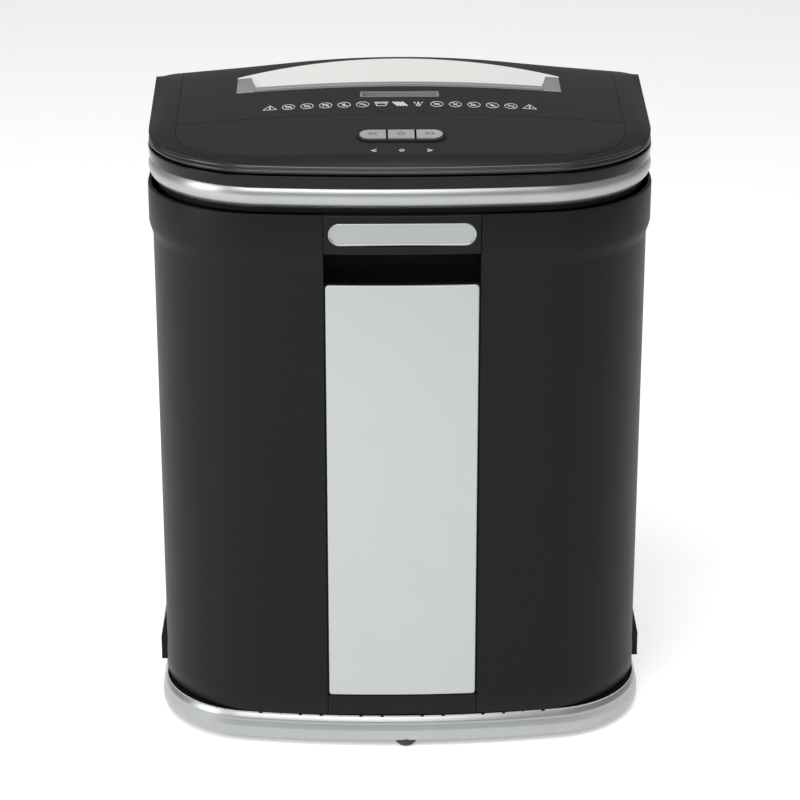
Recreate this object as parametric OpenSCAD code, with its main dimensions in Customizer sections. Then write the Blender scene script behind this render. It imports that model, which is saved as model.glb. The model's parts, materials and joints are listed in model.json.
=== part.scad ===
// Free-standing paper shredder: a D-plan cabinet on castors, a pull-out bin whose
// curved front is the front of the machine, and a shredding head on top.
// Axes: X to the right, Y to the back, Z up; origin on the floor under the middle.

/* [Overall] */
// Width over the collar of the cabinet
body_w = 394; // [360:1:480]
// Depth over the base ring
body_d = 284; // [264:1:350]
// Height of the bin front's top rim
rim_z = 447.5; // [400:0.5:560]
// Height of the head from the rim to the cover's lip
head_h = 34.5; // [32:0.5:44]
// Wall of the large mouldings
wall = 3; // [2.5:0.1:3.5]

/* [Plan outline] */
// Radius of the shallow curve across the front
front_r = 970; // [700:10:1600]
// Radius of the two front corners
corner_r = 98; // [84:1:110]
// Radius of the two back corners
back_r = 22; // [16:1:30]
// How far the body stands in from the collar at the sides
collar_step = 3; // [1:0.5:4]
// Height of the collar
collar_h = 32; // [26:0.5:40]
// Where the bin front meets the rear cabinet, behind the front
split_d = 107; // [100:1:112]

/* [Base] */
// Height of the base ring above the floor
ring_z = 6.2; // [5:0.1:8]
// Height of the base ring
ring_h = 20.6; // [18:0.1:26]
// Thickness of the base tray's floor
tray_t = 4; // [3:0.5:5]
// Gap between the bin front and the base ring
bin_gap = 1; // [0.6:0.1:2]

/* [Castors] */
// Wheel diameter
wheel_d = 26; // [22:1:27]
// Width of each of a castor's two wheels
wheel_w = 6; // [4:0.5:6.5]
// Distance from swivel axis to wheel axle
castor_trail = 5; // [3:0.5:5.5]
// Front castors, out from the middle
castor_x_front = 138; // [125:1:140]
// Rear castors, out from the middle
castor_x_rear = 148; // [130:1:150]

/* [Bin front] */
// Width of the centre strip
strip_w = 119; // [100:1:130]
// Gap beside the silver panel
panel_gap = 1; // [0.6:0.1:1.5]
// Height of the black plinth under the silver panel
plinth_h = 17.5; // [12:0.5:26]
// Height of the finger opening
grab_h = 25; // [20:0.5:30]
// Depth of the finger pocket
grab_d = 20; // [16:1:24]
// Length of the badge plate
badge_w = 112; // [80:1:114]
// Height of the badge plate
badge_h = 17.6; // [12:0.2:20]

/* [Throat] */
// Length of the paper slot
throat_w = 227; // [214:1:232]
// Width of the paper slot
throat_gap = 6; // [5:0.5:7]
// Paper slot, behind the middle of the machine
throat_y = 8; // [4:1:12]
// Length of the card slot
card_w = 58; // [57:1:70]

/* [Controls] */
// Length of a button across the panel
button_w = 20; // [14:0.5:20]
// Depth of a button
button_d = 15; // [12:0.5:17]
// How far a button travels
button_travel = 1.2; // [0.8:0.1:1.4]

/* [Shredding unit] */
// Distance between the two cutter shafts
shaft_gap = 32; // [30:1:33]
// How far the two stacks of discs overlap
disc_overlap = 5; // [4:0.2:5.6]
// Radius of the cutter shafts
shaft_r = 6; // [5:0.5:7]
// Distance from one disc to the next
disc_pitch = 8; // [7.5:0.5:9]
// Thickness of a disc
disc_t = 3.8; // [3:0.1:3.8]
// Thickness of a frame plate
plate_t = 3; // [2:0.5:4]
// Radius of the motor's can
motor_r = 28; // [24:1:29]
// Length of the motor's can
motor_l = 103; // [80:1:105]

/* [Hidden] */
$fn = 48;

// Clearances
gap = 0.3;          // between pieces that only stand beside each other
run = 0.05;         // radial clearance of a running shaft

// Heights
ring_top = ring_z + ring_h;
shell_z = ring_top + bin_gap;
tray_top = ring_top;
step_z = rim_z - collar_h;
band_z = rim_z + 4;
bezel_z = band_z + 16.3;
cover_z = bezel_z + 9.7;
lip_z = rim_z + head_h;
bin_rim = rim_z - 2 * gap;
cutter_z = rim_z - 38;
disc_r = (shaft_gap + disc_overlap) / 2;
spacer_r = shaft_gap - disc_r - 1.5;

// Plan outlines: [half width, front, back, corner radius, front radius, back radius]
half_w = body_w / 2;
half_d = body_d / 2;
collar_line = [half_w, -half_d + 1.5, half_d - 3, corner_r, front_r, back_r];
body_line = [half_w - collar_step, -half_d + 2.5, half_d - 4, corner_r - 2, front_r, back_r - 1];
ring_line = [half_w + 0.5, -half_d, half_d, corner_r - 15, front_r - 190, back_r + 2];
head_line = [half_w - 2, -half_d + 3, half_d - 4, corner_r, front_r, back_r];
panel_line = [half_w - 24, -half_d + 17.4, 0, corner_r - 43, front_r, 1];
split_y = -half_d + split_d;
body_front = body_line[1];

function inset(line, t) =
    [line[0] - t, line[1] + t, line[2] - t, line[3] - t, line[4] - t, max(line[5] - t, 1)];
function arc(x, y, r, from, to, n) =
    [for (i = [0:n]) let (a = from + (to - from) * i / n) [x + r * cos(a), y + r * sin(a)]];
// Half the angle that the front curve takes, and the depth of the corner centres
function front_angle(line) = asin((line[0] - line[3]) / (line[4] - line[3]));
function corner_y(line) = line[1] + line[4] - (line[4] - line[3]) * cos(front_angle(line));
function outline(line) =
    let (t = front_angle(line), yc = corner_y(line), x = line[0] - line[3], xb = line[0] - line[5])
    concat(
        arc(-xb, line[2] - line[5], line[5], 90, 180, 6),
        arc(-x, yc, line[3], 180, 270 - t, 14),
        arc(0, line[1] + line[4], line[4], 270 - t + 1, 270 + t - 1, 14),
        arc(x, yc, line[3], 270 + t, 360, 14),
        arc(xb, line[2] - line[5], line[5], 0, 90, 6));

module block(line, z, h) {
    translate([0, 0, z]) linear_extrude(h) polygon(outline(line));
}
// A box from one corner to the opposite one
module span(a, b) {
    translate(a) cube(b - a);
}
module both_sides() {
    children();
    mirror([1, 0, 0]) children();
}
module pill(w, d) {
    x = (w - d) / 2;
    polygon(concat(arc(x, 0, d / 2, -90, 90, 16), arc(-x, 0, d / 2, 90, 270, 16)));
}
// A cylinder along X from x0 to x1
module x_rod(x0, x1, y, z, r) {
    translate([x0, y, z]) rotate([0, 90, 0]) cylinder(r = r, h = x1 - x0);
}

// ---- Base ----------------------------------------------------------------
castor_y_front = corner_y(body_line) - 48;
castor_y_rear = half_d - 37;
well_r = 22;
cup_r = well_r + 2;
well_top = shell_z + 12.5;
castor_spots = [
    [-castor_x_front, castor_y_front], [castor_x_front, castor_y_front],
    [-castor_x_rear, castor_y_rear], [castor_x_rear, castor_y_rear]];
ring_wall = 4;
foot_r = 8;
foot_x = 3;
foot_y = -half_d + foot_r;
rail_x = 95;
rail_w = 10;
rail_h = 11;
rail_front = -half_d + 36;
rail_back = half_d - 18;

module base_tray() color("#202022") difference() {
    block(inset(ring_line, ring_wall), tray_top - tray_t, tray_t);
    for (p = castor_spots) translate([p[0], p[1], 0]) cylinder(r = cup_r, h = 2 * tray_top);
}
// Cups that hold the castors, open below
module castor_cups() color("#202022") for (p = castor_spots) translate([p[0], p[1], 0]) difference() {
    translate([0, 0, ring_z + 2]) cylinder(r = cup_r, h = well_top - ring_z - 2);
    cylinder(r = well_r, h = well_top - 4);
    cylinder(r = stem_r + run, h = well_top + 1);
}
module base_ring() color("silver") {
    low_h = ring_h * 0.52;
    difference() {
        union() {
            block(ring_line, ring_z, low_h);
            block(inset(ring_line, 1.6), ring_z, ring_h * 0.76);
            block(inset(ring_line, 0.8), ring_z + ring_h * 0.76, ring_h * 0.12);
            block(inset(ring_line, 2.4), ring_z, ring_h);
        }
        block(inset(ring_line, ring_wall), ring_z - 1, ring_h + 2);
        translate([foot_x, foot_y, ring_z - 1]) cylinder(r = foot_r + gap, h = 2);
    }
}
module front_foot() color("#18181a") translate([foot_x, foot_y, 0]) union() {
    lift = 0.5;
    slant = 2;
    translate([0, 0, lift]) cylinder(r1 = foot_r - slant, r2 = foot_r, h = slant);
    translate([0, 0, lift + slant]) cylinder(r = foot_r, h = ring_z + 1 - lift - slant);
    translate([0, foot_r / 2, lift + slant]) cylinder(r = 2.5, h = tray_top - tray_t - lift - slant);
}
module runner_rails() color("#b8babc") {
    both_sides()
        span([rail_x - rail_w / 2, rail_front, tray_top], [rail_x + rail_w / 2, rail_back, tray_top + rail_h]);
}

// ---- Castors -------------------------------------------------------------
stem_r = 3;
axle_r = 2;
castor_web = 4;
castor_plate_z = wheel_d + 1.4;
wheel_in = castor_web / 2 + 0.6;

module castor(p) {
    translate([p[0], p[1], 0]) color("#1c1c1e") difference() {
        union() {
            span([-castor_web / 2, -3, wheel_d / 2 - 4],
                [castor_web / 2, castor_trail + 6, castor_plate_z + 0.5]);
            translate([0, 0, castor_plate_z]) cylinder(r = well_r - 5, h = 2.4);
            translate([0, 0, castor_plate_z]) cylinder(r = stem_r, h = well_top - castor_plate_z);
        }
        x_rod(-castor_web, castor_web, castor_trail, wheel_d / 2, axle_r + run);
    }
}
module wheels(p) {
    translate([p[0], p[1] + castor_trail, 0]) color("#2a2a2c") union() {
        x_rod(-wheel_in - wheel_w, wheel_in + wheel_w, 0, wheel_d / 2, axle_r);
        both_sides() x_rod(wheel_in, wheel_in + wheel_w, 0, wheel_d / 2, wheel_d / 2);
    }
}

// ---- Rear cabinet ---------------------------------------------------------
skirt_h = 48;
skirt_out = 2.6;
vent_n = 14;
gland_x = 128;
gland_z = rim_z - 16;
gland_r = 6;
rocker_x = 96;
rocker_size = [16, 9, 12];

module rear_cabinet() color("#242426") difference() {
    union() {
        difference() {
            union() {
                block(body_line, tray_top, step_z - tray_top + 1);
                block(collar_line, step_z, collar_h);
            }
            block(inset(body_line, wall), tray_top - 1, rim_z);
        }
        both_sides() skirt();
        both_sides() span([half_w - collar_step - 7, split_y + 1, tray_top],
            [half_w - collar_step - 1, split_y + 9, rim_z - 20]);
    }
    span([-half_w * 2, -body_d, 0], [half_w * 2, split_y + 0.4, rim_z * 2]);
    for (i = [0:vent_n - 1]) translate([(i - (vent_n - 1) / 2) * 9 - 70, 0, 0])
        span([-2.2, half_d - 20, step_z - 46], [2.2, half_d + 1, step_z - 12]);
    translate([gland_x, half_d, gland_z]) rotate([90, 0, 0]) cylinder(r = gland_r, h = 20, center = true);
    span([rocker_x - rocker_size[0] / 2, half_d - 20, gland_z - rocker_size[2] / 2],
        [rocker_x + rocker_size[0] / 2, half_d + 1, gland_z + rocker_size[2] / 2]);
}
// Flared foot of each side wall, over the base ring
module skirt() {
    x = half_w - collar_step;
    out = x + collar_step + skirt_out;
    translate([0, split_y + 0.4, 0]) rotate([-90, 0, 0]) linear_extrude(half_d - 60 - split_y)
        polygon([[x - 2, -tray_top - skirt_h], [x, -tray_top - skirt_h], [out, -tray_top - 20],
            [out, -shell_z], [x - 2, -shell_z]]);
}
module mains_gland() color("#151516") {
    y = collar_line[2];
    difference() {
        union() {
            translate([gland_x, y + 2.6, gland_z]) rotate([90, 0, 0]) cylinder(r = gland_r + 2.5, h = 2.6);
            translate([gland_x, y + 2.6, gland_z]) rotate([90, 0, 0]) cylinder(r = gland_r, h = 12);
        }
        translate([gland_x, y + 4, gland_z]) rotate([90, 0, 0]) cylinder(r = 3.6, h = 20);
    }
}
rocker_pivot = [rocker_x, collar_line[2] - 4, gland_z];
module rocker_frame() color("#151516") difference() {
    s = rocker_size / 2;
    y = collar_line[2];
    union() {
        span([rocker_x - s[0], y - 10, gland_z - s[2]], [rocker_x + s[0], y, gland_z + s[2]]);
        span([rocker_x - s[0] - 2, y, gland_z - s[2] - 2],
            [rocker_x + s[0] + 2, y + 1.5, gland_z + s[2] + 2]);
    }
    span([rocker_x - s[0] + 1.5, y - 8, gland_z - s[2] + 1],
        [rocker_x + s[0] - 1.5, y + 2, gland_z + s[2] - 1]);
    translate(rocker_pivot) rotate([0, 90, 0])
        cylinder(r = 1 + run, h = rocker_size[0] - 1.5, center = true);
}
module power_rocker() color("#262628") translate(rocker_pivot) {
    w = rocker_size[0] - 4;
    rotate([0, 90, 0]) cylinder(r = 1, h = rocker_size[0] - 2, center = true);
    translate([-w / 2, 0, 0]) rotate([90, 0, 90]) linear_extrude(w)
        polygon([[-2, -2.5], [3.2, -4.2], [4.2, 0], [5, 3.4], [-2, 2.5]]);
}

// ---- Bin -------------------------------------------------------------------
fascia_t = 7;                           // depth of the channel behind the strip
channel_t = 3;                          // its back wall
panel_t = 2.4;
grab_top = step_z + 0.7;
grab_z = grab_top - grab_h;
panel_z = shell_z + plinth_h;
badge_z = (grab_top + rim_z) / 2 + 0.2;
pocket_floor = grab_z - 22;
floor_z = well_top + 3.7;
bucket_top = rim_z - 86;
bucket_x = half_w - 32;
bucket_front = body_front + fascia_t + channel_t + grab_d + 13.5;
bucket_back = half_d - 18;
bucket_t = 2.5;
glide_lip = 4;
sensor_x = -bucket_x + 42;
sensor_w = 12;

module front_mask(extra) {
    span([-half_w * 2, -body_d, 0], [half_w * 2, split_y - extra, rim_z * 2]);
}
module bin_front_shell() color("#1e1e20") {
    half = strip_w / 2 + gap;
    back = body_front + fascia_t + gap;
    difference() {
        union() {
            intersection() {
                difference() {
                    union() {
                        block(body_line, shell_z, step_z - shell_z + 1);
                        block(collar_line, step_z, bin_rim - step_z);
                    }
                    block(inset(body_line, wall), shell_z - 1, rim_z);
                }
                front_mask(0);
            }
            intersection() {
                block(body_line, shell_z, bin_rim - shell_z);
                span([-half - 4, -body_d, shell_z], [half + 4, back + channel_t, rim_z]);
            }
        }
        span([-half, -body_d, shell_z - 1], [half, back, rim_z + 1]);
        span([-half, -body_d, grab_z], [half, 0, grab_top]);
    }
}
module strip(z0, z1) {
    intersection() {
        children();
        span([-strip_w / 2, -body_d, z0], [strip_w / 2, body_front + fascia_t, z1]);
    }
}
module collar_centre() color("#1e1e20") difference() {
    strip(grab_top, bin_rim) union() {
        block(body_line, grab_top, collar_h);
        block(collar_line, grab_top, collar_h);
    }
    badge_form(0.2, -2);
}
module panel_carrier() color("#151516") difference() {
    strip(shell_z, grab_z) block(body_line, shell_z, grab_z - shell_z);
    difference() {
        span([-strip_w, -body_d, panel_z - gap], [strip_w, 0, grab_z + 1]);
        block(inset(body_line, panel_t + gap), 0, rim_z);
    }
}
module silver_panel() color("#c4c8c8") difference() {
    half = strip_w / 2 - panel_gap;
    intersection() {
        block(body_line, panel_z, grab_z - panel_z);
        span([-half, -body_d, panel_z], [half, 0, grab_z]);
    }
    block(inset(body_line, panel_t), 0, rim_z);
}
// Pill shape of the badge plate, grown by g, from depth y0 behind the collar's face
module badge_form(g, back) {
    intersection() {
        translate([0, collar_line[1] + 3 - back, badge_z]) rotate([90, 0, 0]) linear_extrude(8 - back)
            pill(badge_w + 2 * g, badge_h + 2 * g);
        block(inset(collar_line, -1), grab_top, collar_h);
    }
}
module badge_plate() color("silver") badge_form(0, 0);
module grab_pocket() color("#111112") {
    y0 = body_front + fascia_t + channel_t + 2 * gap;
    half = strip_w / 2;
    difference() {
        span([-half - 2, y0, pocket_floor - 2], [half + 2, y0 + grab_d + 2, grab_top + 2]);
        span([-half, y0 - 1, pocket_floor], [half, y0 + grab_d, grab_top]);
    }
}
module bin_carriage() color("#1e1e20") {
    inner = inset(body_line, wall);
    intersection() {
        difference() {
            block(inner, floor_z, 3.5);
            for (s = [-1, 1]) translate([s * 130, -20, 0]) cylinder(r = 18, h = 200);
        }
        union() {
            span([-bucket_x, body_front + fascia_t + channel_t + 2 * gap, 0], [bucket_x, bucket_back, 100]);
            intersection() {
                span([-half_w, body_front + fascia_t + channel_t + 2 * gap, 0], [half_w, split_y - 3, 100]);
                block(inner, 0, 100);
            }
        }
    }
}
module bin_glides() color("#e4e4e0") both_sides() difference() {
    x = rail_w / 2 + glide_lip;
    span([rail_x - x, rail_front, tray_top + 5], [rail_x + x, rail_back, floor_z]);
    slot = rail_w / 2 + 0.4;
    span([rail_x - slot, rail_front - 1, 0], [rail_x + slot, rail_back + 1, tray_top + rail_h + 0.4]);
}
// Box of the waste bucket, kept inside the plan, drawn in by t
module bucket_block(t, z0, z1) {
    intersection() {
        span([t - bucket_x, bucket_front + t, z0], [bucket_x - t, bucket_back - t, z1]);
        block(inset(body_line, wall + 4 + t), z0, z1 - z0);
    }
}
module waste_bucket() color("#303134") {
    z = floor_z + 3.5;
    difference() {
        bucket_block(0, z, bucket_top);
        bucket_block(bucket_t, z + bucket_t, bucket_top + 1);
    }
}
module sensor_magnet() color("#8a8c8e") {
    span([sensor_x, bucket_back, bucket_top - 8], [sensor_x + sensor_w, bucket_back + 4, bucket_top]);
}

// ---- Head casing -------------------------------------------------------------
ridge_y = 60;
ridge_top = lip_z + 38;
ridge_flat = half_w * 0.213;
ridge_fall = 0.1;
shoulder = 9;
cover_t = 3;
seam_y = throat_y - 60;
slot_front = throat_y - throat_gap / 2;
slot_back = throat_y + throat_gap / 2;
mouth_end = 19.5;
mouth_half = throat_w / 2 + mouth_end;
mouth_front = throat_y - 8;
mouth_side = throat_y + 24;
mouth_top = ridge_y - 4;
nip_top = cutter_z + disc_r + 3.5;
pan_x = half_w - 15;
pan_front = -half_d + 38;
pan_back = half_d - 14;
pan_floor = rim_z - 76;
screw_spots = [for (x = [-1, 1], y = [pan_front + 12, pan_back - 12]) [x * (pan_x - 40), y]];
// The centre line of the top surface behind the shoulder
panel_front_y = head_line[1] + 16;
panel_slope = atan((ridge_top - lip_z - shoulder) / (ridge_y - panel_front_y));
function top_at(y) = lip_z + shoulder + (y - panel_front_y) * tan(panel_slope);

// Outer form of the cover, lowered by d: lip, rounded shoulder, crowned ridge, falling back
module cover_form(d) {
    hull() {
        block(inset(head_line, d), lip_z - 3, 0.01);
        block(inset(head_line, d), lip_z - d, 0.01);
        block(inset(head_line, 4 + d), lip_z + shoulder / 2 - d, 0.01);
        block(inset(head_line, 16), lip_z + shoulder - d, 0.01);
        translate([0, ridge_y, 0]) rotate([90, 0, 0]) linear_extrude(0.01)
            polygon(concat(ridge_points(d),
                [[head_line[0] - d, lip_z - 3], [d - head_line[0], lip_z - 3]]));
    }
}
// Fall of the ridge from its middle: an arch between two straight flanks
function ridge_drop(x) =
    abs(x) < 2 * ridge_flat ? ridge_fall * x * x / (4 * ridge_flat) : ridge_fall * (abs(x) - ridge_flat);
function ridge_points(d) =
    [for (i = [-12:12]) let (x = (head_line[0] - d) * i / 12) [x, ridge_top - d - ridge_drop(x)]];
module cover_shell() {
    difference() {
        cover_form(0);
        cover_form(cover_t);
    }
}
// Plan of the paper mouth: straight front and ends, arched back
module mouth_plan(g) {
    rise = mouth_top - mouth_side;
    r = (mouth_half * mouth_half + rise * rise) / (2 * rise);
    t = asin(mouth_half / r);
    offset_front = mouth_front - g;
    linear_extrude(1000) polygon(concat(
        [[-mouth_half - g, offset_front], [mouth_half + g, offset_front]],
        arc(0, mouth_top - r, r + g, 90 - t, 90 + t, 16)));
}
module control_plan(g) {
    linear_extrude(1000) intersection() {
        polygon(outline(inset(panel_line, g)));
        translate([-half_w, -body_d]) square([body_w, body_d + seam_y - g]);
    }
}
module throat_plan(g) {
    x = panel_line[0] - g;
    linear_extrude(1000) translate([-x, seam_y + g]) square([2 * x, ridge_y - seam_y - 2 * g]);
}
module silver_trim_band() color("silver") difference() {
    union() {
        block(inset(head_line, 0.6), band_z + 3.5, bezel_z - band_z - 6);
        block(inset(head_line, 1.8), band_z, bezel_z - band_z);
    }
    block(inset(head_line, 5), band_z - 1, 100);
}
module gloss_bezel() color("#0c0c0d") difference() {
    union() {
        block(inset(head_line, -0.8), bezel_z, cover_z - bezel_z - 1);
        block(inset(head_line, 1), bezel_z, cover_z - bezel_z);
    }
    block(inset(head_line, 5), bezel_z - 1, 100);
}
module top_cover() color("#2c2c2e") difference() {
    union() {
        difference() {
            block(head_line, cover_z, lip_z - 3 - cover_z);
            block(inset(head_line, cover_t), cover_z - 1, 100);
        }
        cover_shell();
    }
    control_plan(-gap / 2);
    throat_plan(-gap / 2);
}
module throat_panel() color("#2a2a2c") difference() {
    intersection() {
        cover_shell();
        throat_plan(gap / 2);
    }
    mouth_plan(gap / 2);
    card_mouth(gap / 2);
    window_form(gap / 2);
}
module control_panel() color("#262628") difference() {
    intersection() {
        cover_shell();
        control_plan(gap / 2);
    }
    on_panel() bezel_plan(gap, 40);
}
// Box of the head's pan with its front corners cut to the plan, drawn in by t
module pan_block(t, z, h) {
    intersection() {
        span([t - pan_x, pan_front + t, z], [pan_x - t, pan_back - t, z + h]);
        block(inset(body_line, wall + 6 + t), z, h);
    }
}
module head_chassis() color("#202022") {
    x0 = throat_w / 2 + 4;
    difference() {
        union() {
            difference() {
                block(inset(head_line, 5 + gap), rim_z, 5);
                pan_block(2.5, rim_z, 10);
            }
            difference() {
                pan_block(0, pan_floor, rim_z + 2 - pan_floor);
                pan_block(2.5, pan_floor + 2.5, rim_z);
            }
        }
        span([-x0 + 2, throat_y - 26, 0], [x0 - 2, throat_y + 26, rim_z]);
        for (p = screw_spots) translate([p[0], p[1], pan_floor - 1]) cylinder(r = 1.8, h = 10);
    }
}
module paper_guide() color("#e8e8e6") difference() {
    x = throat_w / 2;
    union() {
        span([-x, slot_back, nip_top], [x, slot_back + 2, top_at(slot_back) - 6]);
        intersection() {
            mouth_plan(-gap / 2);
            translate([0, slot_back, top_at(slot_back) - 8]) rotate([guide_slope, 0, 0])
                span([-mouth_half, 0, -2], [mouth_half, 80, 0]);
            cover_form(0);
        }
    }
    ear_form(gap);
    span([-throat_w / 2, slot_front, 0], [throat_w / 2, slot_back, 2 * rim_z]);
}
guide_slope = atan((top_at(mouth_top) - top_at(slot_back) + 7) / (mouth_top - slot_back));
// Blocks at both ends of the paper slot, grown by g
module ear_form(g) {
    both_sides() span([throat_w / 2 + gap - g, mouth_front - g, top_at(slot_front) - 9 - g],
        [mouth_half + g, mouth_side - 2 + g, 2 * rim_z]);
}
module throat_frame() color("#8e9092") {
    x = throat_w / 2;
    lip = top_at(slot_front);
    span([-x, slot_front - 2, nip_top], [x, slot_front, lip - 1]);
    intersection() {
        mouth_plan(-gap / 2);
        union() {
            translate([0, 0, -1.5]) cover_form(0);
            span([-x - 1, mouth_front, 0], [x + 1, slot_front, lip + 2.5]);
        }
        union() {
            span([-mouth_half, mouth_front, lip - 9], [mouth_half, slot_front, lip + 6]);
            ear_form(0);
        }
    }
}
card_y = mouth_front - 11;
module card_mouth(g) {
    span([-card_w / 2 - 2 - g, card_y - 9 - g, rim_z], [card_w / 2 + 2 + g, card_y + 3.4 + g, 2 * rim_z]);
}
module card_chute() color("#3a3b3d") {
    z = top_at(card_y);
    difference() {
        intersection() {
            card_mouth(0);
            translate([0, 0, -0.4]) cover_form(0);
            span([-card_w, card_y - 9, z - 14], [card_w, card_y + 4, z + 20]);
        }
        span([-card_w / 2, card_y, z - 20], [card_w / 2, card_y + 2.2, z + 20]);
        translate([0, card_y, z - 5]) rotate([32, 0, 0]) span([-card_w / 2, -16, 0], [card_w / 2, 0.5, 12]);
    }
}

// ---- Controls -------------------------------------------------------------
controls_y = -half_d + 50;
button_gap = 1.6;
bezel_w = 3 * button_w + 2 * button_gap + 5;
bezel_d = button_d + 7;
bezel_sink = 3.2;
button_pitch = button_w + button_gap;

// Places children on the control panel's surface, z = 0 at the surface
module on_panel() {
    translate([0, controls_y, top_at(controls_y)]) rotate([panel_slope, 0, 0]) children();
}
module bezel_plan(g, h) {
    translate([0, 0, -h / 2]) linear_extrude(h) pill(bezel_w + 2 * g, bezel_d + 2 * g);
}
module button_bezel() color("#101011") on_panel() difference() {
    translate([0, 0, -bezel_sink - 2]) linear_extrude(bezel_sink + 2.6) pill(bezel_w, bezel_d);
    translate([0, 1, -bezel_sink]) linear_extrude(20) pill(bezel_w - 4, bezel_d - 5.5);
    for (i = [-1:1]) translate([i * button_pitch, 1, -10]) cylinder(r = 2.6, h = 20);
}
// A button cap with its stem; i is -1, 0 or 1 from left to right
module button(i) {
    cap_z = -bezel_sink + button_travel + 0.5;
    stem_z = -board_drop + switch_h + 0.4 + button_travel;
    on_panel() translate([i * button_pitch, 1, 0]) color("#b4b7ba") {
        translate([0, 0, cap_z]) linear_extrude(bezel_sink - 0.4) intersection() {
            square([button_w, button_d], center = true);
            translate([-i * button_pitch, 0]) pill(3 * button_w + 2 * button_gap, button_d);
        }
        translate([0, 0, stem_z]) cylinder(r = 2.3, h = cap_z + 0.5 - stem_z);
    }
}
board_drop = 17;
switch_h = 4;
// The board with its three switches
module control_board() color("#1f5a34") on_panel() union() {
    span([-48, -18, -board_drop - 1.6], [48, 22, -board_drop]);
    for (i = [-1:1]) translate([i * button_pitch, 1, -board_drop]) {
        span([-3, -3, -0.2], [3, 3, switch_h - 0.6]);
        translate([0, 0, -0.2]) cylinder(r = 1.7, h = switch_h + 0.2);
    }
}
// Both light windows, grown by g
module window_form(g) {
    for (x = [-16, 16]) translate([x, seam_y + 6, top_at(seam_y + 6)]) rotate([panel_slope, 0, 0])
        span([-2.6 - g, -1.4 - g, -2.2 - 20 * g], [2.6 + g, 1.4 + g, 0.15 + 20 * g]);
}
module indicator_windows() color("#40464c") window_form(0);

// ---- Shredding unit -----------------------------------------------------------
front_shaft_y = throat_y - shaft_gap / 2;
rear_shaft_y = throat_y + shaft_gap / 2;
disc_n = floor((throat_w - 2) / disc_pitch);
stack_l = disc_n * disc_pitch;
plate_x = throat_w / 2 + 4.5;
plate_out = plate_x + plate_t;
bush_r = shaft_r + 3;
rod_r = 3.5;
rod_spots = [for (side = [-1, 1], up = [-1, 1]) [throat_y + side * (35 - 5 * up), cutter_z + up * 27]];

// Gear train: pinion 12 and idler 45 at module 1; idler's pinion 14 and main gear 50 at 1.25
main_teeth = 50;
idler_pinion_teeth = 14;
idler_teeth = 45;
pinion_teeth = 12;
sync_teeth = 16;
sync_module = shaft_gap / sync_teeth;
low_module = 1.25;
high_module = 1;
idler_angle = 140;
motor_angle = 215;
low_distance = low_module * (main_teeth + idler_pinion_teeth) / 2;
high_distance = high_module * (idler_teeth + pinion_teeth) / 2;
idler_y = front_shaft_y + low_distance * cos(idler_angle);
idler_z = cutter_z + low_distance * sin(idler_angle);
motor_y = idler_y + high_distance * cos(motor_angle);
motor_z = idler_z + high_distance * sin(motor_angle);
gear_w = 9;
low_x = plate_out + 2;
high_x = low_x + gear_w + 2;

// Involute gear in the plane, pressure angle 20, its tooth thinned by a little backlash
function involute(r, t) = r * [cos(t) + t * PI / 180 * sin(t), sin(t) - t * PI / 180 * cos(t)];
function turned(p, a) = [p[0] * cos(a) - p[1] * sin(a), p[0] * sin(a) + p[1] * cos(a)];
function flank_angle(r, rb) = sqrt(r * r / (rb * rb) - 1) * 180 / PI;
module gear_plan(m, n, phase) {
    pressure = 20;
    rp = m * n / 2;
    rb = rp * cos(pressure);
    top = flank_angle(rp + 0.9 * m, rb);
    root_r = rp - 1.25 * m;
    low = root_r > rb ? flank_angle(root_r, rb) : 0;
    half_tooth = 90 / n - 9 / n + (tan(pressure) * 180 / PI - pressure);
    flank = concat([[min(root_r, rb), 0]], [for (i = [0:3]) involute(rb, low + (top - low) * i / 3)]);
    polygon([for (k = [0:n - 1]) let (a = phase + 360 * k / n)
        each concat([for (p = flank) turned(p, a - half_tooth)],
            [for (i = [4:-1:0]) turned([flank[i][0], -flank[i][1]], a + half_tooth)])]);
}
// A gear on a shaft along X; its plane's first axis is +Y and its second +Z
module gear(x, w, y, z, m, n, phase, bore) {
    translate([x, y, z]) rotate([90, 0, 90]) linear_extrude(w) difference() {
        gear_plan(m, n, phase);
        circle(bore);
    }
}
// Phase of the second gear so that a gap meets the first gear's tooth along angle a
function mesh_phase(a, n1, phase1, n2) = a + 180 + 180 / n2 + (a - phase1) * n1 / n2;

module frame_plate() {
    translate([plate_x, 0, 0]) rotate([90, 0, 90]) linear_extrude(plate_t) difference() {
        translate([throat_y - 46, cutter_z - 34]) square([92, 68]);
        for (y = [front_shaft_y, rear_shaft_y]) translate([y, cutter_z]) circle(bush_r);
        for (p = rod_spots) translate(p) circle(rod_r);
    }
}
module left_frame_plate() color("#9a9c9e") mirror([1, 0, 0]) frame_plate();
module right_frame_plate() color("#9a9c9e") difference() {
    union() {
        frame_plate();
        span([plate_x, motor_y - motor_r - 1, cutter_z - 20],
            [plate_out, throat_y - 45, motor_z + motor_r + 1]);
        x_rod(plate_x, low_x + 2 * gear_w + 3, idler_y, idler_z, 3);
        span([plate_x, idler_y - 12, cutter_z + 30], [plate_out, idler_y + 14, idler_z + 14]);
    }
    x_rod(plate_x - 1, plate_out + 1, motor_y, motor_z, 7);
    for (p = rod_spots) x_rod(plate_x - 1, plate_out + 1, p[0], p[1], rod_r);
}
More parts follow.
